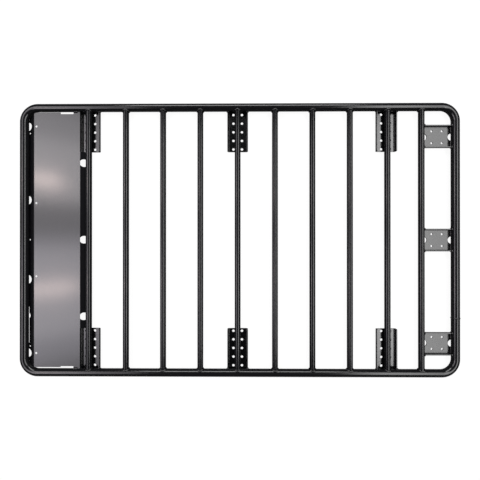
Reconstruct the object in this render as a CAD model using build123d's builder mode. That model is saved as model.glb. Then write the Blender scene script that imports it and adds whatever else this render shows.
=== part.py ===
from build123d import *
import os
from math import asin, atan2, cos, hypot, radians, sin, sqrt, tan

# Flat platform roof rack in millimetres. +X runs to the rear, +Y to the right side, +Z up.
# The origin is under the middle of the rack, level with the undersides of the foot brackets.
# Every tube's axis lies in one level plane, and each joint is a coped tube or a formed plate.

# Overall size, outside to outside of the hoop
RACK_LENGTH = 2160.0
RACK_WIDTH = 1344.0

# Hoop: one bent round tube, with its butt seam on the rear rail, left of the middle
RAIL_OD = 38.1
RAIL_WALL = 2.0
BEND_RADIUS = 71.5
SEAM_FROM_MIDDLE = 382.0

# Crossbars: a deep front bay for the deflector, even main bays, two shorter bays at the rear
CROSSBAR_OD = 28.6
CROSSBAR_WALL = 1.65
FRONT_BAY = 319.3
REAR_BAY = 166.0
MAIN_BAYS = 8

# Root gap left for the weld at every joint
WELD_GAP = 0.2

# Formed plate that the foot brackets and the accessory plates are bent from
PLATE = 5.0
FLANGE_HEIGHT = 16.0
PLATE_BEND = 4.0
FLANGE_CORNER = 7.0
PLATE_LAP = 8.0

# Foot brackets, against the undersides of the side rails at the first, middle and last main crossbar
BRACKET_WIDTH = 101.6
BRACKET_REACH = 213.5
BRACKET_HOLE = 12.7
BRACKET_HOLE_ROWS = 42.5
BRACKET_HOLE_COUNT = 5
BRACKET_HOLE_EDGE = 13.2
BRACKET_HOLE_FROM_RAIL = 28.2

# Accessory plates, in the last bay, their webs let in between the last crossbar and the rear rail
ACCESSORY_DROP = 11.5
ACCESSORY_WIDTH = 111.5
ACCESSORY_INSET = 143.8
ACCESSORY_HOLE = 11.0
ACCESSORY_HOLES_ALONG = 51.0
ACCESSORY_HOLES_ACROSS = 58.8
ACCESSORY_HOLES_OFFSET = 4.3
ACCESSORY_NOTCH = 17.3
ACCESSORY_NOTCH_FRONT = 16.2
ACCESSORY_NOTCH_REAR = 4.3

# Deflector: one folded sheet that fills the front bay, set a little to the right
SHEET = 2.0
SHEET_BEND = 3.0
DECK_RISE = 1.0
DECK_FROM_RAIL = 48.0
DECK_TO_CROSSBAR = 42.8
FRONT_LIP_ANGLE = 21.0
REAR_LIP_RUN_ON = 3.0
DEFLECTOR_GAP = 4.5
DEFLECTOR_SHIFT = 1.9
DEFLECTOR_CORNER = 45.0
LIP_CUT_BACK = 1.0
BRACKET_CLEARANCE = 2.7
TAB_LENGTH = 32.3
TAB_LAP = 12.0
END_NOTCH_LENGTH = 64.0
END_NOTCH_DEPTH = 30.0
FRONT_NOTCH = 20.4
FRONT_NOTCH_SMALL = 13.4
FRONT_NOTCH_SET_IN = 3.2
FRONT_NOTCH_INNER = 197.1
FRONT_NOTCH_OUTER_INSET = 90.2
FRONT_NOTCH_SMALL_INSET = 275.8
FRONT_SLOT = 9.0
FRONT_SLOT_INNER_INSET = 319.0
FRONT_SLOT_OUTER_INSET = 140.0
DECK_HOLE = 10.5
DECK_HOLE_FROM_BEND = 10.7
DECK_HOLE_INNER = 181.2
DECK_HOLE_OUTER_INSET = 92.5
LIP_HOLE = 7.5
LIP_HOLE_FROM_BEND = 26.1
LIP_HOLE_INSET = 124.1
REAR_PASS_HOLE = 18.7
REAR_PASS_FROM_BEND = 15.6
REAR_PASS_FROM_BRACKET = 59.5

# Places worked out from the sizes above
RAIL_RADIUS = RAIL_OD / 2
CROSSBAR_RADIUS = CROSSBAR_OD / 2
RAIL_X = RACK_LENGTH / 2 - RAIL_RADIUS
RAIL_Y = RACK_WIDTH / 2 - RAIL_RADIUS
AXIS_Z = PLATE + WELD_GAP + RAIL_RADIUS
ACCESSORY_Z = AXIS_Z - ACCESSORY_DROP - PLATE
MAIN_PITCH = (2 * RAIL_X - FRONT_BAY - 2 * REAR_BAY) / MAIN_BAYS
CROSSBAR_X = [-RAIL_X + FRONT_BAY + MAIN_PITCH * i for i in range(MAIN_BAYS + 1)]
CROSSBAR_X.append(RAIL_X - REAR_BAY)
BRACKET_END = RAIL_Y - BRACKET_REACH
BRACKET_HOLE_RUN = BRACKET_REACH - BRACKET_HOLE_EDGE - BRACKET_HOLE_FROM_RAIL
BRACKET_HOLE_PITCH = BRACKET_HOLE_RUN / (BRACKET_HOLE_COUNT - 1)
SIDES = {"left": -1, "right": 1}
ENDS = {"front": -1, "rear": 1}

os.makedirs("parts", exist_ok=True)


def save(part, name):
    """Label a finished piece and write it as its own file."""
    part.label = name
    export_step(part, f"parts/{name}.step")


def tube_section(outside, wall):
    """Draw a round tube's section in the sketch that is open."""
    Circle(outside / 2)
    Circle(outside / 2 - wall, mode=Mode.SUBTRACT)


def cope(radius, length, center, along_x):
    """Cut the piece that is open to the round of a level tube, with the weld's root gap."""
    turn = (0, 90, 0) if along_x else (90, 0, 0)
    with Locations(center):
        Cylinder(radius + WELD_GAP, length, rotation=turn, mode=Mode.SUBTRACT)


def straight_rail(name, start, direction, length):
    """One straight run of the hoop."""
    with BuildPart() as rail:
        with BuildSketch(Plane(origin=start, z_dir=direction)):
            tube_section(RAIL_OD, RAIL_WALL)
        extrude(amount=length)
    save(rail.part, name)


def bend_start(end, side):
    """The plane at the front or rear rail where a corner bend starts, and the axis it turns about."""
    middle = (end * (RAIL_X - BEND_RADIUS), side * (RAIL_Y - BEND_RADIUS), AXIS_Z)
    start = Plane(origin=(end * RAIL_X, middle[1], AXIS_Z), z_dir=(0, -side, 0))
    return start, Axis(middle, (0, 0, end * side))


def corner_bend(name, end, side, leg):
    """One quarter bend of the hoop, with a straight leg along the front or rear rail."""
    start, turn = bend_start(end, side)
    with BuildPart() as bend:
        with BuildSketch(start) as section:
            tube_section(RAIL_OD, RAIL_WALL)
        revolve(axis=turn, revolution_arc=90)
        if leg > 0:
            extrude(section.sketch, amount=leg)
    save(bend.part, name)


def crossbar(name, x):
    """One crossbar, coped at both ends to the side rails."""
    with BuildPart() as bar:
        with BuildSketch(Plane(origin=(x, 0, AXIS_Z), z_dir=(0, 1, 0))):
            tube_section(CROSSBAR_OD, CROSSBAR_WALL)
        extrude(amount=RAIL_Y, both=True)
        for side in SIDES.values():
            cope(RAIL_RADIUS, 2 * RAIL_OD, (x, side * RAIL_Y, AXIS_Z), along_x=True)
    save(bar.part, name)


def channel_section(width, plane):
    """The formed plate's section on a plane: a level web with both edges turned up."""
    half = (width - PLATE) / 2
    web = PLATE / 2
    top = PLATE + FLANGE_HEIGHT
    with BuildSketch(plane) as section:
        with BuildLine():
            FilletPolyline((-half, top), (-half, web), (half, web), (half, top), radius=PLATE_BEND + web)
        trace(line_width=PLATE)
    return section.sketch


def foot_bracket(name, x, side):
    """One foot bracket: a trough below a crossbar, coped to the side rail and bolted to a foot."""
    length = BRACKET_REACH - PLATE_LAP
    rows_middle = BRACKET_END + BRACKET_HOLE_EDGE + BRACKET_HOLE_PITCH * (BRACKET_HOLE_COUNT - 1) / 2
    inner_end = Plane(origin=(x, side * BRACKET_END, 0), x_dir=(-side, 0, 0), z_dir=(0, side, 0))
    with BuildPart() as bracket:
        extrude(channel_section(BRACKET_WIDTH, inner_end), amount=length)
        ends = bracket.edges().filter_by(Axis.X).group_by(Axis.Z)[-1]
        fillet(ends.sort_by(Axis.Y)[:2] if side > 0 else ends.sort_by(Axis.Y)[-2:], FLANGE_CORNER)
        with Locations((x, side * rows_middle, PLATE)):
            with GridLocations(BRACKET_HOLE_ROWS, BRACKET_HOLE_PITCH, 2, BRACKET_HOLE_COUNT):
                Hole(BRACKET_HOLE / 2, depth=PLATE)
        cope(RAIL_RADIUS, 2 * BRACKET_WIDTH, (x, side * RAIL_Y, AXIS_Z), along_x=True)
    save(bracket.part, name)


def accessory_plate(name, y):
    """One accessory plate, between the last crossbar and the rear rail."""
    front = CROSSBAR_X[-1]
    rear = RAIL_X - PLATE_LAP
    front_end = Plane(origin=(front, y, ACCESSORY_Z), x_dir=(0, 1, 0), z_dir=(1, 0, 0))
    with BuildPart() as plate:
        extrude(channel_section(ACCESSORY_WIDTH, front_end), amount=rear - front)
        with Locations(((front + rear) / 2 + ACCESSORY_HOLES_OFFSET, y, ACCESSORY_Z + PLATE)):
            with GridLocations(ACCESSORY_HOLES_ALONG, ACCESSORY_HOLES_ACROSS, 2, 2):
                Hole(ACCESSORY_HOLE / 2, depth=PLATE)
        with BuildSketch(Plane.XY.offset(ACCESSORY_Z)):
            for end, depth, inward in ((front, ACCESSORY_NOTCH_FRONT, 1), (rear, ACCESSORY_NOTCH_REAR, -1)):
                with Locations((end + inward * depth, y)):
                    Circle(ACCESSORY_NOTCH)
                with Locations((end + inward * depth / 2, y)):
                    Rectangle(depth, 2 * ACCESSORY_NOTCH)
        extrude(amount=PLATE, mode=Mode.SUBTRACT)
        cope(CROSSBAR_RADIUS, 2 * ACCESSORY_WIDTH, (front, y, AXIS_Z), along_x=False)
        cope(RAIL_RADIUS, 2 * ACCESSORY_WIDTH, (RAIL_X, y, AXIS_Z), along_x=False)
    save(plate.part, name)


def deflector_profile():
    """Points along the middle of the sheet: front lip, level deck, rear lip under the first crossbar."""
    deck_z = AXIS_Z + DECK_RISE - SHEET / 2
    front_bend = -RAIL_X + DECK_FROM_RAIL
    front_edge = -RAIL_X + PLATE_LAP
    front_z = deck_z - (front_bend - front_edge) * tan(radians(FRONT_LIP_ANGLE))
    rear_bend = CROSSBAR_X[0] - DECK_TO_CROSSBAR
    reach = hypot(DECK_TO_CROSSBAR, AXIS_Z - deck_z)
    clear = CROSSBAR_RADIUS + WELD_GAP + SHEET / 2
    slope = atan2(AXIS_Z - deck_z, DECK_TO_CROSSBAR) - asin(clear / reach)
    run = sqrt(reach**2 - clear**2) + REAR_LIP_RUN_ON
    rear_edge = (rear_bend + run * cos(slope), deck_z + run * sin(slope))
    return [(front_edge, front_z), (front_bend, deck_z), (rear_bend, deck_z), rear_edge]


def rectangle_between(low, high, mode=Mode.ADD):
    """Draw a rectangle from its lowest to its highest corner."""
    with Locations(((low[0] + high[0]) / 2, (low[1] + high[1]) / 2)):
        Rectangle(high[0] - low[0], high[1] - low[1], mode=mode)


def front_deflector(name):
    """The folded sheet, cut round the front brackets and notched for lamps and cables."""
    (front_edge, _), (front_bend, _), (rear_bend, _), (rear_edge, _) = deflector_profile()
    half_width = RAIL_Y - RAIL_RADIUS - DEFLECTOR_GAP
    bracket_edge = rear_bend - LIP_CUT_BACK
    tab_front = bracket_edge - TAB_LENGTH
    outer_notch = RAIL_Y - FRONT_NOTCH_OUTER_INSET
    small_notch = RAIL_Y - FRONT_NOTCH_SMALL_INSET
    outer_hole = RAIL_Y - DECK_HOLE_OUTER_INSET
    lip_hole = RAIL_Y - LIP_HOLE_INSET
    notch_x = front_edge + FRONT_NOTCH_SET_IN
    hole_x = front_bend + DECK_HOLE_FROM_BEND
    slot_from = (front_edge, FRONT_SLOT_OUTER_INSET - RAIL_Y)
    slot_to = (front_edge + FRONT_SLOT, FRONT_SLOT_INNER_INSET - RAIL_Y)
    pass_hole = BRACKET_END - REAR_PASS_FROM_BRACKET
    with BuildSketch() as plan:
        with Locations((0, DEFLECTOR_SHIFT)):
            rectangle_between((front_edge, -half_width), (rear_edge, half_width))
            fillet(plan.vertices().group_by(Axis.X)[0], DEFLECTOR_CORNER)
            for side in SIDES.values():
                with Locations((notch_x, side * FRONT_NOTCH_INNER), (notch_x, side * outer_notch)):
                    Circle(FRONT_NOTCH, mode=Mode.SUBTRACT)
                with Locations((hole_x, side * DECK_HOLE_INNER), (hole_x, side * outer_hole)):
                    Circle(DECK_HOLE / 2, mode=Mode.SUBTRACT)
            with Locations((notch_x, -small_notch)):
                Circle(FRONT_NOTCH_SMALL, mode=Mode.SUBTRACT)
            rectangle_between(slot_from, slot_to, mode=Mode.SUBTRACT)
            for place in (-1, 0, 1):
                with Locations((front_bend - LIP_HOLE_FROM_BEND, place * lip_hole)):
                    Circle(LIP_HOLE / 2, mode=Mode.SUBTRACT)
                with Locations((rear_bend + REAR_PASS_FROM_BEND, place * pass_hole)):
                    Circle(REAR_PASS_HOLE, mode=Mode.SUBTRACT)
        rectangle_between((tab_front, TAB_LAP - RAIL_Y), (bracket_edge, RAIL_Y - TAB_LAP))
        for side in SIDES.values():
            with Locations((bracket_edge, side * (BRACKET_END - BRACKET_CLEARANCE))):
                Rectangle(
                    BRACKET_WIDTH,
                    BRACKET_REACH,
                    align=(Align.MIN, Align.MIN if side > 0 else Align.MAX),
                    mode=Mode.SUBTRACT,
                )
            with Locations((tab_front - END_NOTCH_LENGTH / 2, side * RAIL_Y)):
                Rectangle(END_NOTCH_LENGTH, 2 * END_NOTCH_DEPTH, mode=Mode.SUBTRACT)
    with BuildPart() as deflector:
        with BuildSketch(Plane.XZ):
            with BuildLine():
                FilletPolyline(*deflector_profile(), radius=SHEET_BEND + SHEET / 2)
            trace(line_width=SHEET)
        extrude(amount=RAIL_Y, both=True)
        extrude(plan.sketch, amount=2 * AXIS_Z, mode=Mode.INTERSECT)
        cope(RAIL_RADIUS, RACK_WIDTH, (-RAIL_X, 0, AXIS_Z), along_x=False)
        for side in SIDES.values():
            cope(RAIL_RADIUS, RACK_LENGTH, (0, side * RAIL_Y, AXIS_Z), along_x=True)
            start, turn = bend_start(ENDS["front"], side)
            with BuildSketch(start):
                Circle(RAIL_RADIUS + WELD_GAP)
            revolve(axis=turn, revolution_arc=90, mode=Mode.SUBTRACT)
    save(deflector.part, name)


# Hoop: four straight runs and four bends, one of them carrying the leg up to the butt seam
straight_x = RAIL_X - BEND_RADIUS
straight_y = RAIL_Y - BEND_RADIUS
for side_name, side in SIDES.items():
    straight_rail(f"{side_name}_side_rail", (-straight_x, side * RAIL_Y, AXIS_Z), (1, 0, 0), 2 * straight_x)
straight_rail("front_rail", (-RAIL_X, -straight_y, AXIS_Z), (0, 1, 0), 2 * straight_y)
straight_rail("rear_rail", (RAIL_X, -SEAM_FROM_MIDDLE, AXIS_Z), (0, 1, 0), straight_y + SEAM_FROM_MIDDLE)
for end_name, end in ENDS.items():
    for side_name, side in SIDES.items():
        seam_leg = straight_y - SEAM_FROM_MIDDLE if (end_name, side_name) == ("rear", "left") else 0
        corner_bend(f"corner_{end_name}_{side_name}", end, side, seam_leg)

# Crossbars, numbered from the front
for number, x in enumerate(CROSSBAR_X, start=1):
    crossbar(f"crossbar_{number:02d}", x)

# Foot brackets, at the first, middle and last main crossbar
BRACKET_STATIONS = {"front": 0, "middle": MAIN_BAYS // 2, "rear": MAIN_BAYS}
for station, index in BRACKET_STATIONS.items():
    for side_name, side in SIDES.items():
        foot_bracket(f"foot_bracket_{station}_{side_name}", CROSSBAR_X[index], side)

# Accessory plates, in the middle and near each side
for place, y in (("left", -1), ("center", 0), ("right", 1)):
    accessory_plate(f"accessory_plate_{place}", y * (RAIL_Y - ACCESSORY_INSET))

front_deflector("front_deflector")
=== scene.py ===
# %% [markdown]
# # Flat platform roof rack
# The rack is a hoop of round steel tube with ten crossbars, six foot brackets, three accessory plates
# and a folded deflector, all welded together and coated satin black. The solids in the frame already hold
# every size and place. This lesson makes the skin that the eye meets: smooth tubes, plates with softened
# edges, weld beads, the coat itself, and a plain studio.
#
# The first step loads the frame. Nothing made here should change the rack's size.

# %% Load the frame
import math

import bmesh
import bpy
from mathutils import Matrix, Vector


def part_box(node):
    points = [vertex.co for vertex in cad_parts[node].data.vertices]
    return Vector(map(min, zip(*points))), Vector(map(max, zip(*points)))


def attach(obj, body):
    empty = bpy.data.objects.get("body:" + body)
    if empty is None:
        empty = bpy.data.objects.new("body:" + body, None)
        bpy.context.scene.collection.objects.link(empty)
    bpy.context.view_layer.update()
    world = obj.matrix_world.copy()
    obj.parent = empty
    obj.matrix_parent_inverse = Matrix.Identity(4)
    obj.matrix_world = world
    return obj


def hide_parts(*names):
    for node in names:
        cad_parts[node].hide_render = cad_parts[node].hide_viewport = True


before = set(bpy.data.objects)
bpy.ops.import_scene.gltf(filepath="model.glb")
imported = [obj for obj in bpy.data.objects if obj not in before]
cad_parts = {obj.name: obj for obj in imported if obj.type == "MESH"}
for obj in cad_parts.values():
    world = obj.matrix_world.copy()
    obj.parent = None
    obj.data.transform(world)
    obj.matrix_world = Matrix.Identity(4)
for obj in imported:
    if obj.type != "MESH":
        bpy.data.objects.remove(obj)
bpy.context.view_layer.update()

# %% [markdown]
# The sizes could be typed in again, but then they could drift from the solids. They are measured instead.
# A level tube gives its radius by the height of its box, and its axis by the middle of its box. The side
# rail stops where the hoop's bend starts, so its end gives the bend's radius. Only what a box can't give,
# such as the thickness of a plate, is typed in where it is first needed.

# %% Measure the tubes
MM = 0.001


def middle(node):
    """The middle of a node's box."""
    low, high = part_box(node)
    return (low + high) / 2


def tube_radius(node):
    """A level tube's radius, from the height of its box."""
    low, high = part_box(node)
    return (high.z - low.z) / 2


RAIL_RADIUS = tube_radius("rear_rail")
CROSSBAR_RADIUS = tube_radius("crossbar_02")
RAIL_X = middle("rear_rail").x
RAIL_Y = middle("right_side_rail").y
AXIS_Z = middle("rear_rail").z
BEND_RADIUS = RAIL_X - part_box("right_side_rail")[1].x
SEAM_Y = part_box("rear_rail")[0].y
CROSSBARS = sorted(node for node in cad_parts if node.startswith("crossbar"))
CROSSBAR_X = [middle(node).x for node in CROSSBARS]
print("rail", round(2 * RAIL_RADIUS / MM, 1), "mm, bend", round(BEND_RADIUS / MM, 1), "mm,",
      len(CROSSBARS), "crossbars of", round(2 * CROSSBAR_RADIUS / MM, 1), "mm")

# %% [markdown]
# Shapes and finishes are both made of nodes here. Adding a node, setting it up and wiring it takes several
# lines each time, so one small function does all three. An input is given by its name or its number, and
# it is either a plain value or the socket that feeds it.

# %% One function for every node
def add(tree, kind, inputs=None, **settings):
    """Add a node with its settings, and fill or link its inputs."""
    node = tree.nodes.new(kind)
    for name, value in settings.items():
        setattr(node, name, value)
    for key, value in (inputs or {}).items():
        if isinstance(value, bpy.types.NodeSocket):
            tree.links.new(value, node.inputs[key])
        else:
            node.inputs[key].default_value = value
    return node


print("node function:", add.__doc__)

# %% [markdown]
# A colour is easiest to write as a screen shows it, as an sRGB hex value. Shaders count in linear light, in
# which twice the number is twice the light. Typing linear numbers would work too, but nobody can picture
# them, so one function turns each hex value by the curve of the sRGB standard.

# %% One function for every colour
def linear(hex_colour):
    """An sRGB hex colour as linear red, green, blue and alpha."""
    shares = [int(hex_colour[at:at + 2], 16) / 255 for at in (1, 3, 5)]
    return [s / 12.92 if s <= 0.04045 else ((s + 0.055) / 1.055) ** 2.4 for s in shares] + [1.0]


print("middle grey in linear light:", [round(c, 4) for c in linear("#808080")])

# %% [markdown]
# The coat is polyester powder, sprayed on dry and melted in an oven. It flows into a skin about 0.08 mm
# thick that dries satin, with the faint waviness called orange peel and a fine grain of unmelted powder.
# An image of a painted surface could be projected on it, but noise in the rack's own coordinates needs no
# image and has no seams. The peel bends the reflections through the bump, and the grain makes the gloss
# uneven: most of its noise lies in the middle of its range, and that part is spread over the roughness.
# Cured polyester has an index of refraction near 1.5. A matting agent in the powder takes away part of its
# mirror reflection, which is the shine: 0.5 is the full reflection of that index, less is duller.

# %% The powder coat
COAT_IOR = 1.5
PEEL_DETAIL = 2.0
GRAIN_DETAIL = 3.0
GRAIN_LOW = 0.3
GRAIN_HIGH = 0.7


def bare_tree(owner):
    """Turn on the nodes of a material or a world, and return its emptied tree."""
    owner.use_nodes = True
    owner.node_tree.nodes.clear()
    return owner.node_tree


def powder_coat(name, shade, tint, shine, gloss, peel_mm, peel_depth_mm, grain_mm):
    """A satin coat: its darker and lighter colour, its shine, and its range of roughness."""
    coat = bpy.data.materials.new(name)
    tree = bare_tree(coat)
    place = add(tree, "ShaderNodeTexCoord").outputs["Object"]
    peel = add(tree, "ShaderNodeTexNoise", {
        "Vector": place, "Scale": 1 / (peel_mm * MM), "Detail": PEEL_DETAIL,
    })
    grain = add(tree, "ShaderNodeTexNoise", {
        "Vector": place, "Scale": 1 / (grain_mm * MM), "Detail": GRAIN_DETAIL,
    })
    colour = add(tree, "ShaderNodeMix", {
        "Factor": grain.outputs["Fac"], "A": linear(shade), "B": linear(tint),
    }, data_type="RGBA")
    rough = add(tree, "ShaderNodeMapRange", {
        "Value": grain.outputs["Fac"], "From Min": GRAIN_LOW, "From Max": GRAIN_HIGH,
        "To Min": gloss[0], "To Max": gloss[1],
    })
    bump = add(tree, "ShaderNodeBump", {"Height": peel.outputs["Fac"], "Distance": peel_depth_mm * MM})
    skin = add(tree, "ShaderNodeBsdfPrincipled", {
        "Base Color": colour.outputs["Result"],
        "Roughness": rough.outputs["Result"],
        "IOR": COAT_IOR,
        "Specular IOR Level": shine,
        "Normal": bump.outputs["Normal"],
    })
    add(tree, "ShaderNodeOutputMaterial", {"Surface": skin.outputs["BSDF"]})
    return coat


print("powder coat: index of refraction", COAT_IOR)

# %% [markdown]
# The same powder looks a little different on each stock. On drawn tube it lies smooth. On the thick formed
# plate it covers the mill's rough skin, so the reflections break up into speckles: on the real plate they
# are finer than a millimetre, and they are drawn a few millimetres wide so that they show. On thin sheet it
# is the smoothest, and a lamp shows in it as a soft patch. Over a weld it pools and shines more.

# %% Coats for tube, plate, sheet and weld
coat_on_tube = powder_coat(
    "satin_black_powder_coat_on_tube", "#0b0b0c", "#101012",
    shine=0.3, gloss=(0.14, 0.18), peel_mm=9.0, peel_depth_mm=0.01, grain_mm=1.5,
)
coat_on_plate = powder_coat(
    "satin_black_powder_coat_on_plate", "#030304", "#09090a",
    shine=0.5, gloss=(0.14, 0.22), peel_mm=6.0, peel_depth_mm=0.12, grain_mm=5.0,
)
coat_on_sheet = powder_coat(
    "satin_black_powder_coat_on_sheet", "#08080a", "#0c0c0e",
    shine=0.5, gloss=(0.15, 0.18), peel_mm=30.0, peel_depth_mm=0.04, grain_mm=2.0,
)
coat_on_weld = powder_coat(
    "satin_black_powder_coat_on_weld", "#060607", "#0a0a0b",
    shine=0.4, gloss=(0.15, 0.22), peel_mm=3.0, peel_depth_mm=0.02, grain_mm=2.0,
)
print("coats:", [m.name for m in (coat_on_tube, coat_on_plate, coat_on_sheet, coat_on_weld)])

# %% [markdown]
# Three kinds of piece follow a rule: the hoop is one tube along a rounded rectangle, the crossbars are one
# coped bar repeated, and every weld is one bead along a path. They could be modelled point by point, but a
# Geometry Nodes tree says the rule itself, with its sizes as named inputs. The trees all start and end
# alike, so two functions do that part.

# %% Start a tree and end it
def start_tree(name, sizes):
    """A Geometry Nodes tree with named sizes and a coat as inputs. Returns the tree and its inputs."""
    tree = bpy.data.node_groups.new(name, "GeometryNodeTree")
    tree.interface.new_socket("Geometry", in_out="INPUT", socket_type="NodeSocketGeometry")
    for size in sizes:
        tree.interface.new_socket(size, in_out="INPUT", socket_type="NodeSocketFloat")
    tree.interface.new_socket("Coat", in_out="INPUT", socket_type="NodeSocketMaterial")
    tree.interface.new_socket("Geometry", in_out="OUTPUT", socket_type="NodeSocketGeometry")
    return tree, add(tree, "NodeGroupInput").outputs


def end_tree(tree, shape, coat):
    """Close a tree with smooth faces, plain geometry and the coat."""
    smooth = add(tree, "GeometryNodeSetShadeSmooth", {"Geometry": shape})
    plain = add(tree, "GeometryNodeRealizeInstances", {"Geometry": smooth.outputs["Geometry"]})
    coated = add(tree, "GeometryNodeSetMaterial", {"Geometry": plain.outputs["Geometry"], "Material": coat})
    add(tree, "NodeGroupOutput", {"Geometry": coated.outputs["Geometry"]})
    print("tree", tree.name, "has", len(tree.nodes), "nodes")


# %% [markdown]
# A tree works as a modifier on some base mesh or curve, and its result isn't a mesh yet. Leaving it live
# would do for a picture, but a part that others use should be plain. So the tree is run on a helper object,
# its result is copied as a mesh, and the helper is removed. The mesh then gets an object of its own on the
# rack, and the solids that it stands for are hidden.

# %% Keep what a tree makes
def in_scene(name, data):
    """A new object in the scene, made of a mesh, a curve, a lamp or a camera."""
    thing = bpy.data.objects.new(name, data)
    bpy.context.scene.collection.objects.link(thing)
    return thing


def grow(name, tree, base, inputs):
    """Run a tree on a base, and return what it makes as a plain mesh without empty material slots."""
    maker = in_scene(f"{name}_maker", base)
    modifier = maker.modifiers.new(tree.name, "NODES")
    modifier.node_group = tree
    for item in tree.interface.items_tree:
        if item.in_out == "INPUT" and item.name in inputs:
            modifier[item.identifier] = inputs[item.name]
    shaped = maker.evaluated_get(bpy.context.evaluated_depsgraph_get())
    mesh = bpy.data.meshes.new_from_object(shaped)
    mesh.name = name
    while None in list(mesh.materials):
        mesh.materials.pop(index=list(mesh.materials).index(None))
    bpy.data.objects.remove(maker)
    return mesh


def set_on_rack(name, mesh, nodes=()):
    """Put a finished mesh on the rack, and hide the nodes that it stands for."""
    piece = in_scene(name, mesh)
    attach(piece, "root")
    if nodes:
        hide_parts(*nodes)
    mesh.calc_loop_triangles()
    print(name, len(mesh.loop_triangles), "triangles,", [m.name for m in mesh.materials])


# %% [markdown]
# The hoop is one length of tube bent four times and closed by a butt weld. It could be swept in eight
# pieces like the solids, but the gaps between runs and bends would show in the reflections. One sweep along
# a rounded rectangle has none.

# %% The hoop
BEND_STEPS = 28
TUBE_SIDES = 64

HOOP_SIZES = ["Length", "Width", "Bend Radius", "Tube Radius", "Axis Height"]
hoop_tree, given = start_tree("bent_tube_hoop", HOOP_SIZES)
frame_line = add(hoop_tree, "GeometryNodeCurvePrimitiveQuadrilateral", {
    "Width": given["Length"], "Height": given["Width"],
})
rounded = add(hoop_tree, "GeometryNodeFilletCurve", {
    "Curve": frame_line.outputs["Curve"], "Count": BEND_STEPS, "Radius": given["Bend Radius"],
}, mode="POLY")
lift = add(hoop_tree, "ShaderNodeCombineXYZ", {"Z": given["Axis Height"]})
raised = add(hoop_tree, "GeometryNodeTransform", {
    "Geometry": rounded.outputs["Curve"], "Translation": lift.outputs["Vector"],
})
section = add(hoop_tree, "GeometryNodeCurvePrimitiveCircle", {
    "Resolution": TUBE_SIDES, "Radius": given["Tube Radius"],
})
swept = add(hoop_tree, "GeometryNodeCurveToMesh", {
    "Curve": raised.outputs["Geometry"], "Profile Curve": section.outputs["Curve"],
})
end_tree(hoop_tree, swept.outputs["Mesh"], given["Coat"])

HOOP_NODES = [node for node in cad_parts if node.endswith("_rail") or node.startswith("corner_")]
hoop_mesh = grow("hoop_tube", hoop_tree, bpy.data.meshes.new("hoop_base"), {
    "Length": 2 * RAIL_X, "Width": 2 * RAIL_Y, "Bend Radius": BEND_RADIUS,
    "Tube Radius": RAIL_RADIUS, "Axis Height": AXIS_Z, "Coat": coat_on_tube,
})
set_on_rack("hoop_tube", hoop_mesh, HOOP_NODES)

# %% [markdown]
# A crossbar is a straight tube whose ends are coped, that is, cut to the round of the side rail. A boolean
# cut would do it, but the cut follows a rule: at a height z from the axis, the rail's face stands back by
# the root of its radius squared less z squared. So the tree starts with a tube from -1 to 1 and moves its
# end points to that face.

# %% A coped crossbar
bar_tree, given = start_tree("coped_crossbars", ["Tube Radius", "Rail Radius", "Rail From Middle"])
bar_line = add(bar_tree, "GeometryNodeCurvePrimitiveLine", {"Start": (0, -1, 0), "End": (0, 1, 0)})
section = add(bar_tree, "GeometryNodeCurvePrimitiveCircle", {
    "Resolution": TUBE_SIDES, "Radius": given["Tube Radius"],
})
bar = add(bar_tree, "GeometryNodeCurveToMesh", {
    "Curve": bar_line.outputs["Curve"], "Profile Curve": section.outputs["Curve"], "Fill Caps": True,
})
place = add(bar_tree, "GeometryNodeInputPosition").outputs["Position"]
spot = add(bar_tree, "ShaderNodeSeparateXYZ", {"Vector": place})
rail_square = add(bar_tree, "ShaderNodeMath", {0: given["Rail Radius"], 1: 2.0}, operation="POWER")
height_square = add(bar_tree, "ShaderNodeMath", {0: spot.outputs["Z"], 1: 2.0}, operation="POWER")
left_over = add(bar_tree, "ShaderNodeMath", {
    0: rail_square.outputs[0], 1: height_square.outputs[0],
}, operation="SUBTRACT")
stand_back = add(bar_tree, "ShaderNodeMath", {0: left_over.outputs[0]}, operation="SQRT")
reach = add(bar_tree, "ShaderNodeMath", {
    0: given["Rail From Middle"], 1: stand_back.outputs[0],
}, operation="SUBTRACT")
coped_y = add(bar_tree, "ShaderNodeMath", {0: spot.outputs["Y"], 1: reach.outputs[0]}, operation="MULTIPLY")
coped_spot = add(bar_tree, "ShaderNodeCombineXYZ", {
    "X": spot.outputs["X"], "Y": coped_y.outputs[0], "Z": spot.outputs["Z"],
})
coped = add(bar_tree, "GeometryNodeSetPosition", {
    "Geometry": bar.outputs["Mesh"], "Position": coped_spot.outputs["Vector"],
})
print("bar rule:", len(bar_tree.nodes), "nodes so far")

# %% [markdown]
# The rack's ten crossbars are all alike. Ten copies could be placed by hand, but then a change to one would
# have to be made ten times. The tree sets its one bar on points instead, one for each crossbar in the
# frame. The bars run half a millimetre into the rail's wall, as the melted root of the weld does.

# %% Ten crossbars
WELD_ROOT = 0.5 * MM

bars = add(bar_tree, "GeometryNodeInstanceOnPoints", {
    "Points": given["Geometry"], "Instance": coped.outputs["Geometry"],
})
end_tree(bar_tree, bars.outputs["Instances"], given["Coat"])

bar_points = bpy.data.meshes.new("crossbar_points")
bar_points.from_pydata([(x, 0, AXIS_Z) for x in CROSSBAR_X], [], [])
bar_mesh = grow("crossbar_tubes", bar_tree, bar_points, {
    "Tube Radius": CROSSBAR_RADIUS, "Rail Radius": RAIL_RADIUS - WELD_ROOT, "Rail From Middle": RAIL_Y,
    "Coat": coat_on_tube,
})
set_on_rack("crossbar_tubes", bar_mesh, CROSSBARS)

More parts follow.
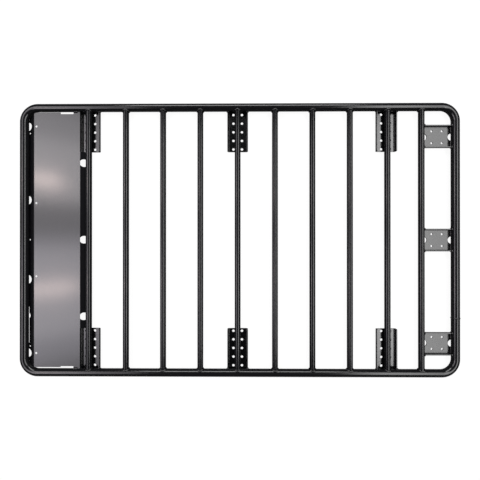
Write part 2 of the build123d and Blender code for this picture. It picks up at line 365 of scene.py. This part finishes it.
# %% [markdown]
# The brackets, plates and deflector are cut and folded from flat steel. Their solids already have the right
# outline, holes and bends, but cut steel is tumbled or ground before coating and the coat rounds what is
# left, so no edge on the real rack is razor sharp. They could be modelled again with round edges. It is
# surer to copy each solid, merge its loose triangles, join up its flat faces, and let a bevel round every
# sharp edge. The large flat faces then set the shading normals, so that a flat web shows a flat reflection
# up to its rounded edges. The solids themselves stay as they are.

# %% Soften the edges of a plate
SHARP_EDGE = math.radians(35)
FLAT_WITHIN = math.radians(0.2)
SAME_POINT = 0.002 * MM
EDGE_STEPS = 2
FLAT_FACES_WIN = 100


def merged_copy(node, coat):
    """A copy of a node's mesh with its points merged, its flat faces joined up and its coat on."""
    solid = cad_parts[node].data
    mesh = bpy.data.meshes.new(f"{node}_coated")
    mesh.from_pydata([v.co for v in solid.vertices], [], [list(f.vertices) for f in solid.polygons])
    work = bmesh.new()
    work.from_mesh(mesh)
    bmesh.ops.remove_doubles(work, verts=work.verts, dist=SAME_POINT)
    bmesh.ops.dissolve_limit(work, angle_limit=FLAT_WITHIN, verts=work.verts, edges=work.edges)
    work.to_mesh(mesh)
    work.free()
    for face in mesh.polygons:
        face.use_smooth = True
    mesh.set_sharp_from_angle(angle=SHARP_EDGE)
    mesh.materials.append(coat)
    return mesh


def soften(node, edge_mm, coat):
    """A copy of a node as one closed mesh, with its sharp edges rounded."""
    maker = in_scene(f"{node}_maker", merged_copy(node, coat))
    bevel = maker.modifiers.new("rounded_edges", "BEVEL")
    bevel.width = edge_mm * MM
    bevel.segments = EDGE_STEPS
    bevel.limit_method = "ANGLE"
    bevel.angle_limit = SHARP_EDGE
    bevel.use_clamp_overlap = False
    flat_faces = maker.modifiers.new("flat_faces", "WEIGHTED_NORMAL")
    flat_faces.weight = FLAT_FACES_WIN
    shaped = maker.evaluated_get(bpy.context.evaluated_depsgraph_get())
    rounded_mesh = bpy.data.meshes.new_from_object(shaped)
    bpy.data.objects.remove(maker)
    return rounded_mesh


print("edges sharper than", round(math.degrees(SHARP_EDGE)), "degrees get rounded")

# %% [markdown]
# The thick plate has the rounder edges. The thin sheet keeps finer ones, because a wide bevel would eat
# into its two millimetres. One width for both would be simpler, but the eye reads the thickness of the
# steel from the light along its edges.

# %% Brackets, accessory plates and deflector
PLATE_EDGE_MM = 0.7
SHEET_EDGE_MM = 0.4

BRACKETS = sorted(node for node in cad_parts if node.startswith("foot_bracket"))
ACCESSORY_PLATES = sorted(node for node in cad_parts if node.startswith("accessory_plate"))
for node in BRACKETS + ACCESSORY_PLATES:
    set_on_rack(f"{node}_coated", soften(node, PLATE_EDGE_MM, coat_on_plate), [node])
deflector_mesh = soften("front_deflector", SHEET_EDGE_MM, coat_on_sheet)
set_on_rack("front_deflector_coated", deflector_mesh, ["front_deflector"])

# %% [markdown]
# Every joint is closed by a weld bead: a line of small overlapping pools, each a little proud of the last.
# Pools set one by one along the joint would leave hundreds of buried faces, so the bead is one sweep whose
# radius swells and dips with the length along the path. Noise with a fixed seed makes the hand of the
# welder a little uneven.

# %% The swell of a weld bead
POOL_SWELL = 0.1
HAND_SWELL = 0.16
HAND_MM = 9.0

bead_tree, given = start_tree("weld_beads", ["Bead Radius", "Pool Length", "Step", "Seed"])
even = add(bead_tree, "GeometryNodeResampleCurve", {
    "Curve": given["Geometry"], "Length": given["Step"],
}, mode="LENGTH")
along = add(bead_tree, "GeometryNodeSplineParameter").outputs["Length"]
pools = add(bead_tree, "ShaderNodeMath", {0: along, 1: given["Pool Length"]}, operation="DIVIDE")
half_turns = add(bead_tree, "ShaderNodeMath", {0: pools.outputs[0], 1: math.pi}, operation="MULTIPLY")
wave = add(bead_tree, "ShaderNodeMath", {0: half_turns.outputs[0]}, operation="SINE")
hump = add(bead_tree, "ShaderNodeMath", {0: wave.outputs[0]}, operation="ABSOLUTE")
rippled = add(bead_tree, "ShaderNodeMath", {
    0: hump.outputs[0], 1: POOL_SWELL, 2: 1 - POOL_SWELL,
}, operation="MULTIPLY_ADD")
unsteady = add(bead_tree, "ShaderNodeTexNoise", {
    "W": given["Seed"], "Scale": 1 / (HAND_MM * MM),
}, noise_dimensions="4D")
steadied = add(bead_tree, "ShaderNodeMath", {
    0: unsteady.outputs["Fac"], 1: HAND_SWELL, 2: 1 - HAND_SWELL / 2,
}, operation="MULTIPLY_ADD")
swelling = add(bead_tree, "ShaderNodeMath", {
    0: rippled.outputs[0], 1: steadied.outputs[0],
}, operation="MULTIPLY")
print("bead swell:", POOL_SWELL, "from the pools,", HAND_SWELL, "from the hand")

# %% [markdown]
# A welder starts and stops with less metal, so a bead that doesn't close on itself tapers at its two ends.
# Round caps could be added there. Letting the sweep's own radius shrink, over a stretch as long as the bead
# is thick, needs no extra pieces. A bead that goes all round keeps its full size.

# %% The ends and the sweep of a weld bead
BEAD_SIDES = 10
BEAD_TIP = 0.25

whole = add(bead_tree, "GeometryNodeSplineLength").outputs["Length"]
from_end = add(bead_tree, "ShaderNodeMath", {0: whole, 1: along}, operation="SUBTRACT")
nearest_end = add(bead_tree, "ShaderNodeMath", {0: along, 1: from_end.outputs[0]}, operation="MINIMUM")
end_share = add(bead_tree, "ShaderNodeMapRange", {
    "Value": nearest_end.outputs[0], "From Max": given["Bead Radius"], "To Min": BEAD_TIP,
}, interpolation_type="SMOOTHERSTEP")
closed = add(bead_tree, "GeometryNodeInputSplineCyclic")
taper = add(bead_tree, "ShaderNodeMath", {
    0: end_share.outputs["Result"], 1: closed.outputs["Cyclic"],
}, operation="MAXIMUM")
bead_size = add(bead_tree, "ShaderNodeMath", {
    0: swelling.outputs[0], 1: taper.outputs[0],
}, operation="MULTIPLY")
section = add(bead_tree, "GeometryNodeCurvePrimitiveCircle", {
    "Resolution": BEAD_SIDES, "Radius": given["Bead Radius"],
})
bead = add(bead_tree, "GeometryNodeCurveToMesh", {
    "Curve": even.outputs["Curve"], "Profile Curve": section.outputs["Curve"],
    "Scale": bead_size.outputs[0], "Fill Caps": True,
})
end_tree(bead_tree, bead.outputs["Mesh"], given["Coat"])

# %% [markdown]
# The crossbars are welded all round. The path is the saddle where the two rounds meet. It could be found by
# cutting one tube with the other, but the rule of the cope gives it directly. Each path becomes a spline of
# one curve, and the bead tree runs along all of them at once.

# %% Welds of the crossbars
POOL_MM = 3.2
STEP_MM = 0.8
WELDER_SEED = 7.0
TUBE_BEAD_MM = 5.0
RING_POINTS = 64
RING_TURNS = [2 * math.pi * step / RING_POINTS for step in range(RING_POINTS)]


def run_beads(name, paths, radius_mm):
    """Weld along paths, each a list of points and whether it closes on itself."""
    lines = bpy.data.curves.new(f"{name}_paths", "CURVE")
    lines.dimensions = "3D"
    for points, closes in paths:
        spline = lines.splines.new("POLY")
        spline.points.add(len(points) - 1)
        for spot_on_path, point in zip(spline.points, points):
            spot_on_path.co = (*point, 1.0)
        spline.use_cyclic_u = closes
    mesh = grow(name, bead_tree, lines, {
        "Bead Radius": radius_mm * MM, "Pool Length": POOL_MM * MM, "Step": STEP_MM * MM,
        "Seed": WELDER_SEED, "Coat": coat_on_weld,
    })
    set_on_rack(name, mesh)


def face_of_tube(radius, height):
    """How far a level tube's face stands from its axis, at a height from the axis."""
    return math.sqrt(max(radius**2 - height**2, 0.0))


def saddle(x, side):
    """The closed line where a crossbar meets a side rail."""
    points = []
    for turn in RING_TURNS:
        height = CROSSBAR_RADIUS * math.sin(turn)
        back = side * (RAIL_Y - face_of_tube(RAIL_RADIUS, height))
        points.append((x + CROSSBAR_RADIUS * math.cos(turn), back, AXIS_Z + height))
    return points


saddles = [(saddle(x, side), True) for x in CROSSBAR_X for side in (-1, 1)]
run_beads("crossbar_welds", saddles, TUBE_BEAD_MM)

# %% [markdown]
# The hoop's own butt seam is a low ring round the rear rail, left of the middle. A thin bead could be laid
# on the tube, but its pools would look too fine. So a full bead is sunk into the wall until only its crown
# shows.

# %% The seam of the hoop
SEAM_BEAD_MM = 4.0
SEAM_PROUD_MM = 2.0

ring = RAIL_RADIUS - (SEAM_BEAD_MM - SEAM_PROUD_MM) * MM
seam = [(RAIL_X + ring * math.cos(t), SEAM_Y, AXIS_Z + ring * math.sin(t)) for t in RING_TURNS]
run_beads("hoop_seam_weld", [(seam, True)], SEAM_BEAD_MM)

# %% [markdown]
# A formed plate is welded along its whole section: up the outside of one flange, over its top, down into
# the trough, along the web and out over the other flange. The path is that section drawn on the face of
# the tube that the plate meets. Along the web the bead lies in the corner under the tube. Four separate
# beads would be easier to draw, but their ends would show at each corner.

# %% Welds of the brackets
PLATE_STOCK = 5.0 * MM
BEAD_OVER_WEB = 2.5 * MM
RISE_STEPS = 6


def flange_path(outside, inside, web, top):
    """Across and height along one flange's section, from its outer face over its top into the trough."""
    rise = [web + (top - web) * step / RISE_STEPS for step in range(RISE_STEPS + 1)]
    return [(outside, height) for height in rise] + [(inside, height) for height in rise[::-1]]


def section_paths(low, high, web, top, notch=None):
    """The weld lines over a formed plate's section, from its low to its high edge, split at a notch."""
    start = flange_path(low, low + PLATE_STOCK, web, top)
    finish = flange_path(high, high - PLATE_STOCK, web, top)
    if notch is None:
        return [start + finish[::-1]]
    return [start + [(notch[0], web)], finish + [(notch[1], web)]]


plate_welds = []
for node in BRACKETS:
    low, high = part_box(node)
    side = 1 if low.y > 0 else -1
    for path in section_paths(low.x, high.x, low.z + PLATE_STOCK + BEAD_OVER_WEB, high.z):
        backs = [side * (RAIL_Y - face_of_tube(RAIL_RADIUS, z - AXIS_Z)) for x, z in path]
        plate_welds.append(([(x, back, z) for (x, z), back in zip(path, backs)], False))
print(len(plate_welds), "bracket welds drawn")

# %% [markdown]
# An accessory plate meets the last crossbar with one end and the rear rail with the other, and its
# half-round notches interrupt both welds. One path could run across the notch and be cut there. Two paths
# that end beside it also taper as a welder's stops do.

# %% Welds of the accessory plates
PLATE_BEAD_MM = 4.6
NOTCH_HALF = 17.3 * MM

for node in ACCESSORY_PLATES:
    low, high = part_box(node)
    heart = (low.y + high.y) / 2
    notch = (heart - NOTCH_HALF, heart + NOTCH_HALF)
    for axis_x, radius, way in ((CROSSBAR_X[-1], CROSSBAR_RADIUS, 1), (RAIL_X, RAIL_RADIUS, -1)):
        for path in section_paths(low.y, high.y, low.z + PLATE_STOCK + BEAD_OVER_WEB, high.z, notch):
            fronts = [axis_x + way * face_of_tube(radius, z - AXIS_Z) for y, z in path]
            plate_welds.append(([(front, y, z) for (y, z), front in zip(path, fronts)], False))
run_beads("plate_welds", plate_welds, PLATE_BEAD_MM)

# %% [markdown]
# The deflector is thin, and a long bead would warp it, so it is only stitched: a short bead on each side of
# every front notch, under the swell of the front rail, and one along each end tab where it meets a side
# rail. The bead tree makes these too, from paths of three points.

# %% Stitches of the deflector
STITCH = 24.0 * MM
STITCH_BEAD_MM = 3.2
STITCH_BESIDE_NOTCH = 40.0 * MM
NOTCH_INNER = 197.1 * MM
NOTCH_OUTER_INSET = 90.2 * MM
LIP_FROM_AXIS = 12.5 * MM
TAB = 26.0 * MM
TAB_BEAD_MM = 6.0
TAB_CLEARANCE = 2.2 * MM

sheet_low, sheet_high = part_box("front_deflector")
sheet_middle = (sheet_low.y + sheet_high.y) / 2
lip_height = AXIS_Z - face_of_tube(RAIL_RADIUS, LIP_FROM_AXIS)
tab_back = RAIL_Y - face_of_tube(RAIL_RADIUS, sheet_high.z - AXIS_Z)
tab_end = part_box("foot_bracket_front_right")[0].x - TAB_CLEARANCE
stitches = []
tab_welds = []
for side in (-1, 1):
    for notch_y in (NOTCH_INNER, RAIL_Y - NOTCH_OUTER_INSET):
        for beside in (-STITCH_BESIDE_NOTCH, STITCH_BESIDE_NOTCH):
            heart = sheet_middle + side * notch_y + beside
            ends = [heart - STITCH / 2, heart, heart + STITCH / 2]
            stitches.append(([(-RAIL_X + LIP_FROM_AXIS, y, lip_height) for y in ends], False))
    ends = [tab_end, tab_end - TAB / 2, tab_end - TAB]
    tab_welds.append(([(x, side * tab_back, sheet_high.z) for x in ends], False))
run_beads("deflector_stitches", stitches, STITCH_BEAD_MM)
run_beads("deflector_tab_welds", tab_welds, TAB_BEAD_MM)

# %% [markdown]
# The studio stands on a wide floor of white paper. A small sheet would do for the view from above, but a
# low view would look past its edge. The floor lies a hair under the brackets, so that the two faces don't
# flicker through each other.

# %% The floor
FLOOR_HALF = 20.0
FLOOR_DROP = 0.5 * MM

floor_mesh = bpy.data.meshes.new("studio_floor")
corners = [(x * FLOOR_HALF, y * FLOOR_HALF) for x, y in ((-1, -1), (1, -1), (1, 1), (-1, 1))]
floor_mesh.from_pydata([(x, y, -FLOOR_DROP) for x, y in corners], [], [(0, 1, 2, 3)])
floor = in_scene("studio_floor", floor_mesh)
print("floor", 2 * FLOOR_HALF, "m square")

# %% [markdown]
# The paper is plain matte white, and what the eye and the gloss see of it is mostly its own even white, so
# that the background stays clean while a share of real light and shadow remains on it under the rack. That
# share fades out with the distance, because far from the lamps it would only draw a grey horizon. The gloss
# sees a much darker paper, so that the tubes' flanks stay black. A painted backdrop would do the same, but
# only from one side.

# %% The floor's paper
PAPER_WHITE = "#f4f4f4"
EVEN_WHITE = 0.93
SHADOW_FADES_FROM = 1.6
SHADOW_FADES_TO = 3.6
GLOSS_WHITE = 0.06

paper = bpy.data.materials.new("matte_white_paper")
tree = bare_tree(paper)
ray = add(tree, "ShaderNodeLightPath").outputs
mirrored = add(tree, "ShaderNodeMath", {
    0: ray["Is Glossy Ray"], 1: ray["Is Transmission Ray"],
}, operation="MAXIMUM")
shown = add(tree, "ShaderNodeMath", {0: mirrored.outputs[0], 1: ray["Is Camera Ray"]}, operation="MAXIMUM")
place = add(tree, "ShaderNodeTexCoord").outputs["Object"]
distance = add(tree, "ShaderNodeVectorMath", {0: place}, operation="LENGTH").outputs["Value"]
evenness = add(tree, "ShaderNodeMapRange", {
    "Value": distance, "From Min": SHADOW_FADES_FROM, "From Max": SHADOW_FADES_TO, "To Min": EVEN_WHITE,
}, interpolation_type="SMOOTHSTEP")
share = add(tree, "ShaderNodeMath", {
    0: shown.outputs[0], 1: evenness.outputs["Result"],
}, operation="MULTIPLY")
white = add(tree, "ShaderNodeMapRange", {
    "Value": mirrored.outputs[0], "To Min": 1.0, "To Max": GLOSS_WHITE,
})
matte = add(tree, "ShaderNodeBsdfDiffuse", {"Color": linear(PAPER_WHITE)})
even_white = add(tree, "ShaderNodeEmission", {
    "Color": linear("#ffffff"), "Strength": white.outputs["Result"],
})
mixed = add(tree, "ShaderNodeMixShader", {
    0: share.outputs[0], 1: matte.outputs[0], 2: even_white.outputs[0],
})
add(tree, "ShaderNodeOutputMaterial", {"Surface": mixed.outputs[0]})
floor_mesh.materials.append(paper)
print("even white share", EVEN_WHITE, "under the rack, 1.0 from", SHADOW_FADES_TO, "m out")

# %% [markdown]
# Black gloss shows its surroundings more than its own colour. The room has grey walls and a dark ceiling,
# so that level tops stay black seen from above, while low views find something lighter to reflect. Walls
# could be built, but the world needs no mesh: its direction gives the height, and a smooth step goes from
# wall to ceiling. The eye itself sees plain white behind the floor's edge.

# %% The room
WALL_TOP_DEGREES = 16
CEILING_DEGREES = 42
WALL_GREY = "#58585a"
CEILING_GREY = "#1c1c1e"

world = bpy.data.worlds.new("studio_room")
bpy.context.scene.world = world
tree = bare_tree(world)
direction = add(tree, "ShaderNodeTexCoord").outputs["Generated"]
height = add(tree, "ShaderNodeSeparateXYZ", {"Vector": direction}).outputs["Z"]
rise = add(tree, "ShaderNodeMapRange", {
    "Value": height,
    "From Min": math.sin(math.radians(WALL_TOP_DEGREES)),
    "From Max": math.sin(math.radians(CEILING_DEGREES)),
}, interpolation_type="SMOOTHSTEP")
room = add(tree, "ShaderNodeMix", {
    "Factor": rise.outputs["Result"], "A": linear(WALL_GREY), "B": linear(CEILING_GREY),
}, data_type="RGBA")
ray = add(tree, "ShaderNodeLightPath").outputs
behind = add(tree, "ShaderNodeMix", {
    "Factor": ray["Is Camera Ray"], "A": room.outputs["Result"], "B": linear("#ffffff"),
}, data_type="RGBA")
air = add(tree, "ShaderNodeBackground", {"Color": behind.outputs["Result"], "Strength": 1.0})
add(tree, "ShaderNodeOutputWorld", {"Surface": air.outputs["Background"]})
print("room: grey walls to", WALL_TOP_DEGREES, "degrees, dark ceiling from", CEILING_DEGREES, "degrees")

# %% [markdown]
# Two long softboxes hang in front of and behind the rack, high enough to draw one fine line along each
# crossbar and to lay a grey sheen on the plates at both ends. A narrower strip before the rear one lifts
# the rear brackets, and a strip on the right draws the lines along the side rails. A lamp could be given by
# its watts, but black gloss shows how bright the lamp's face looks, which is its radiance. So that is what
# is given here: on an area lamp, four watts for each square metre make a radiance of one.

# %% The lamps
WATTS_FOR_RADIANCE = 4.0


def softbox(name, place, wide, long_y, radiance, colour="#ffffff"):
    """A rectangular lamp facing the rack's middle.

    Before and behind the rack its long_y runs along Y. Beside the rack its wide runs along X.
    """
    lamp = bpy.data.lights.new(name, "AREA")
    lamp.shape = "RECTANGLE"
    lamp.size = wide
    lamp.size_y = long_y
    lamp.energy = WATTS_FOR_RADIANCE * radiance * wide * long_y
    lamp.color = linear(colour)[:3]
    away = Vector(place).normalized()
    across = Vector((0, 1, 0)).cross(away) if abs(away.x) > abs(away.y) else Vector((1, 0, 0))
    across.normalize()
    turned = Matrix((across, away.cross(across), away)).transposed()
    holder = in_scene(name, lamp)
    holder.matrix_world = Matrix.Translation(place) @ turned.to_4x4()
    holder.visible_camera = False
    print(name, "at", place, "with radiance", radiance)


softbox("rear_softbox", (3.05, 0.0, 4.2), wide=2.3, long_y=5.0, radiance=4.7)
softbox("rear_strip", (2.62, 0.0, 4.0), wide=0.75, long_y=5.0, radiance=2.6)
softbox("front_softbox", (-2.75, 0.0, 3.5), wide=2.3, long_y=4.6, radiance=2.3, colour="#fcf8fe")
softbox("right_strip", (0.0, 3.9, 3.5), wide=4.4, long_y=1.8, radiance=8.4)

# %% [markdown]
# The deflector's smooth deck shows two warm patches that fade out slowly, the mirror images of two small
# lamps before the front softbox. One lamp alone would show as a hard square. So each has two wider, fainter
# boxes about it, a glow and a haze. The two patches differ in place and width, because the lamps do.

# %% Two warm patches on the deflector
LAMP_HEIGHT = 3.4
LAMP_LONG = 0.2
LAMP_COLOUR = "#ffe6dd"
GLOW_X = -2.95
GLOW_HEIGHT = 3.3
GLOW_WIDE = 1.3
GLOW_RADIANCE = 1.8
GLOW_COLOUR = "#fdf7f9"
HAZE_X = -2.88
HAZE_HEIGHT = 3.2
HAZE_WIDE = 1.4
HAZE_RADIANCE = 1.5
PATCHES = {
    "right": {
        "lamp_x": -3.1, "lamp_y": 0.955, "lamp_wide": 0.42, "lamp_radiance": 13.0,
        "glow_y": 1.09, "glow_long": 0.95, "haze_y": 1.3, "haze_long": 1.5, "haze_colour": "#fcf8fc",
    },
    "left": {
        "lamp_x": -3.0, "lamp_y": -0.765, "lamp_wide": 0.75, "lamp_radiance": 9.0,
        "glow_y": -0.79, "glow_long": 1.4, "haze_y": -0.86, "haze_long": 1.9, "haze_colour": "#f2eeff",
    },
}

for side_name, patch in PATCHES.items():
    softbox(f"front_lamp_{side_name}", (patch["lamp_x"], patch["lamp_y"], LAMP_HEIGHT),
            wide=patch["lamp_wide"], long_y=LAMP_LONG, radiance=patch["lamp_radiance"], colour=LAMP_COLOUR)
    softbox(f"front_glow_{side_name}", (GLOW_X, patch["glow_y"], GLOW_HEIGHT),
            wide=GLOW_WIDE, long_y=patch["glow_long"], radiance=GLOW_RADIANCE, colour=GLOW_COLOUR)
    softbox(f"front_haze_{side_name}", (HAZE_X, patch["haze_y"], HAZE_HEIGHT),
            wide=HAZE_WIDE, long_y=patch["haze_long"], radiance=HAZE_RADIANCE, colour=patch["haze_colour"])

# %% [markdown]
# The camera looks straight down from about one and a half metres above the tubes, with a wide lens. A view
# from far away would show every bracket alike, but this close the rack's own perspective hides some of
# their holes. Its place and its slight lean were found by matching the crossbars' spacing from end to end.

# %% The camera
SENSOR_MM = 36.0
LENS_MM = 23.266
ABOVE_TUBES = 1528.1 * MM
OFF_MIDDLE = (15.6 * MM, -1.8 * MM)
LEAN = (math.radians(0.08), math.radians(0.385))

lens = bpy.data.cameras.new("plan_camera")
lens.sensor_width = SENSOR_MM
lens.lens = LENS_MM
camera = in_scene("plan_camera", lens)
camera.location = (*OFF_MIDDLE, AXIS_Z + ABOVE_TUBES)
camera.rotation_euler = (*LEAN, 0.0)
bpy.context.scene.camera = camera
bpy.context.scene.view_settings.view_transform = "Standard"
print("camera", [round(v, 4) for v in camera.location], "lens", lens.lens, "mm")

# %% [markdown]
